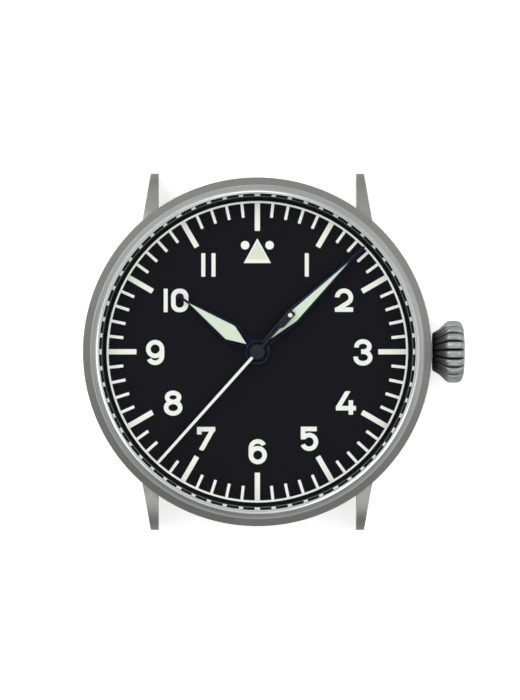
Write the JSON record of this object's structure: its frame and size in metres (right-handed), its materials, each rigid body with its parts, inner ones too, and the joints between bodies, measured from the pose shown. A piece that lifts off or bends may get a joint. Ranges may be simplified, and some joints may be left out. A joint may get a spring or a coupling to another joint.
{
  "type": "pilot wrist watch head",
  "caption": "Round steel pilot's watch head with black dial, lumed hands, fluted crown, display back and hand-wound movement, without strap.",
  "frame": {"origin": "centre of the outer face of the case back, on which the watch lies", "axes": "+Z out of the dial, +Y to 12 o'clock, +X to the crown at 3 o'clock"},
  "size_m": [0.0462, 0.0432, 0.0113],
  "materials": {
    "case_steel": "satin brushed stainless steel",
    "bezel_steel": "circular satin stainless steel",
    "crown_steel": "fine blasted stainless steel",
    "sapphire": "clear anti-reflective sapphire",
    "gasket_rubber": "soft matt",
    "rehaut_steel": "polished inner ring",
    "dial_black": "matt black",
    "white_print": "printed white",
    "dial_lume": "off-white luminous paint",
    "hand_lume": "pale green luminous paint",
    "blued_steel": "heat blued, polished",
    "black_enamel": "matt black lacquer",
    "white_enamel": "white lacquer",
    "rhodium_plate": "rhodium plated, straight graining",
    "gilt_brass": "gilt, circular graining",
    "polished_steel": "polished steel",
    "spring_alloy": "drawn spring strip",
    "ruby": "polished synthetic ruby"
  },
  "bodies": {
    "case": {"back_glass": "sapphire", "back_glass_gasket": "gasket_rubber", "balance_cock": "rhodium_plate", "barrel_bridge": "rhodium_plate", "bezel": "bezel_steel", "bridge_screws": "blued_steel", "case_back": "case_steel", "case_back_gasket": "gasket_rubber", "case_clamp_screws": "blued_steel", "case_clamps": "polished_steel", "case_middle": "case_steel", "click": "polished_steel", "crown_tube": "crown_steel", "crystal": "sapphire", "crystal_gasket": "gasket_rubber", "dial": "dial_black", "dial_numerals": "white_print", "hairspring": "spring_alloy", "hairspring_stud": "polished_steel", "hour_bars": "dial_lume", "jewels": "ruby", "keyless_cover": "polished_steel", "main_plate": "rhodium_plate", "minute_track": "white_print", "movement_ring": "rhodium_plate", "orientation_mark": "dial_lume", "pallet_cock": "rhodium_plate", "rehaut_ring": "rehaut_steel", "small_screws": "blued_steel", "train_bridge": "rhodium_plate"},
    "crown": {"crown": "crown_steel", "winding_stem": "polished_steel", "crown_gasket": "gasket_rubber"},
    "winding_pinion": {"winding_pinion": "polished_steel"},
    "sliding_pinion": {"sliding_pinion": "polished_steel"},
    "setting_lever": {"setting_lever": "polished_steel"},
    "yoke": {"yoke": "polished_steel"},
    "crown_wheel": {"crown_wheel": "polished_steel"},
    "ratchet_wheel": {"ratchet_wheel": "polished_steel", "ratchet_screw": "blued_steel", "barrel_arbor": "polished_steel"},
    "barrel": {"barrel": "gilt_brass", "mainspring": "spring_alloy"},
    "minute_hand": {"minute_hand": "blued_steel", "minute_hand_lume": "hand_lume", "cannon_pinion": "polished_steel", "centre_wheel": "gilt_brass"},
    "hour_hand": {"hour_hand": "blued_steel", "hour_hand_lume": "hand_lume", "hour_wheel": "gilt_brass"},
    "second_hand": {"second_hand": "black_enamel", "second_hand_paint": "white_enamel", "fourth_wheel": "gilt_brass"},
    "minute_wheel": {"minute_wheel": "gilt_brass"},
    "setting_wheel": {"setting_wheel": "polished_steel"},
    "third_wheel": {"third_wheel": "gilt_brass"},
    "escape_wheel": {"escape_wheel": "polished_steel"},
    "pallet_fork": {"pallet_fork": "polished_steel", "pallet_stones": "ruby"},
    "balance": {"balance_wheel": "gilt_brass"}
  },
  "joints": [
    {"name": "minute_hand_turn", "type": "hinge", "parent": "case", "child": "minute_hand", "pos_m": [0, 0, 0.005], "axis": [0, 0, 1], "continuous": true},
    {"name": "hour_hand_turn", "type": "hinge", "parent": "case", "child": "hour_hand", "pos_m": [0, 0, 0.005], "axis": [0, 0, 1], "continuous": true},
    {"name": "second_hand_turn", "type": "hinge", "parent": "case", "child": "second_hand", "pos_m": [0, 0, 0.005], "axis": [0, 0, 1], "continuous": true},
    {"name": "minute_wheel_turn", "type": "hinge", "parent": "case", "child": "minute_wheel", "pos_m": [0.003, 0, 0.005], "axis": [0, 0, 1], "continuous": true},
    {"name": "setting_wheel_turn", "type": "hinge", "parent": "case", "child": "setting_wheel", "pos_m": [0.00637, 0, 0.005], "axis": [0, 0, 1], "continuous": true},
    {"name": "barrel_turn", "type": "hinge", "parent": "case", "child": "barrel", "pos_m": [0.00305, 0.00551, 0.005], "axis": [0, 0, 1], "continuous": true},
    {"name": "third_wheel_turn", "type": "hinge", "parent": "case", "child": "third_wheel", "pos_m": [-0.00453, 0.0008, 0.005], "axis": [0, 0, 1], "continuous": true},
    {"name": "escape_wheel_turn", "type": "hinge", "parent": "case", "child": "escape_wheel", "pos_m": [0.0012, -0.00446, 0.005], "axis": [0, 0, 1], "continuous": true},
    {"name": "pallet_fork_swing", "type": "hinge", "parent": "case", "child": "pallet_fork", "pos_m": [-0.00114, -0.00619, 0.005], "axis": [0, 0, 1], "range_deg": [-5, 5]},
    {"name": "balance_swing", "type": "hinge", "parent": "case", "child": "balance", "pos_m": [-0.0038, -0.00816, 0.005], "axis": [0, 0, 1], "range_deg": [-270, 270]},
    {"name": "crown_turn", "type": "hinge", "parent": "case", "child": "winding_pinion", "pos_m": [0.01087, 0, 0.00445], "axis": [1, 0, 0], "continuous": true},
    {"name": "crown_wheel_turn", "type": "hinge", "parent": "case", "child": "crown_wheel", "pos_m": [0.00792, 0, 0.005], "axis": [0, 0, 1], "continuous": true},
    {"name": "ratchet_wheel_turn", "type": "hinge", "parent": "case", "child": "ratchet_wheel", "pos_m": [0.00305, 0.00551, 0.005], "axis": [0, 0, 1], "continuous": true},
    {"name": "crown_pull", "type": "slide", "parent": "winding_pinion", "child": "crown", "axis": [1, 0, 0], "range_m": [0, 0.0011]},
    {"name": "sliding_pinion_slide", "type": "slide", "parent": "winding_pinion", "child": "sliding_pinion", "axis": [-1, 0, 0], "range_m": [0, 0.0006]},
    {"name": "setting_lever_turn", "type": "hinge", "parent": "case", "child": "setting_lever", "pos_m": [0.01204, 0.0026, 0.0065], "axis": [0, 0, 1], "range_deg": [0, 25.03]},
    {"name": "yoke_turn", "type": "hinge", "parent": "case", "child": "yoke", "pos_m": [0.00887, -0.0028, 0.0065], "axis": [0, 0, 1], "range_deg": [0, 12.37]}
  ],
  "couplings": [
    {"joint": "hour_hand_turn", "follows": "minute_hand_turn", "ratio": 0.083333},
    {"joint": "second_hand_turn", "follows": "minute_hand_turn", "ratio": 60},
    {"joint": "minute_wheel_turn", "follows": "minute_hand_turn", "ratio": -0.33333},
    {"joint": "setting_wheel_turn", "follows": "minute_hand_turn", "ratio": 0.66667},
    {"joint": "barrel_turn", "follows": "minute_hand_turn", "ratio": -0.16667},
    {"joint": "third_wheel_turn", "follows": "minute_hand_turn", "ratio": -8},
    {"joint": "escape_wheel_turn", "follows": "minute_hand_turn", "ratio": -600},
    {"joint": "crown_wheel_turn", "follows": "crown_turn", "ratio": 0.58333},
    {"joint": "ratchet_wheel_turn", "follows": "crown_turn", "ratio": -0.4375},
    {"joint": "sliding_pinion_slide", "follows": "crown_pull", "ratio": 0.54545},
    {"joint": "setting_lever_turn", "follows": "crown_pull", "rad_per_m": 397.21},
    {"joint": "yoke_turn", "follows": "crown_pull", "rad_per_m": 196.29}
  ]
}
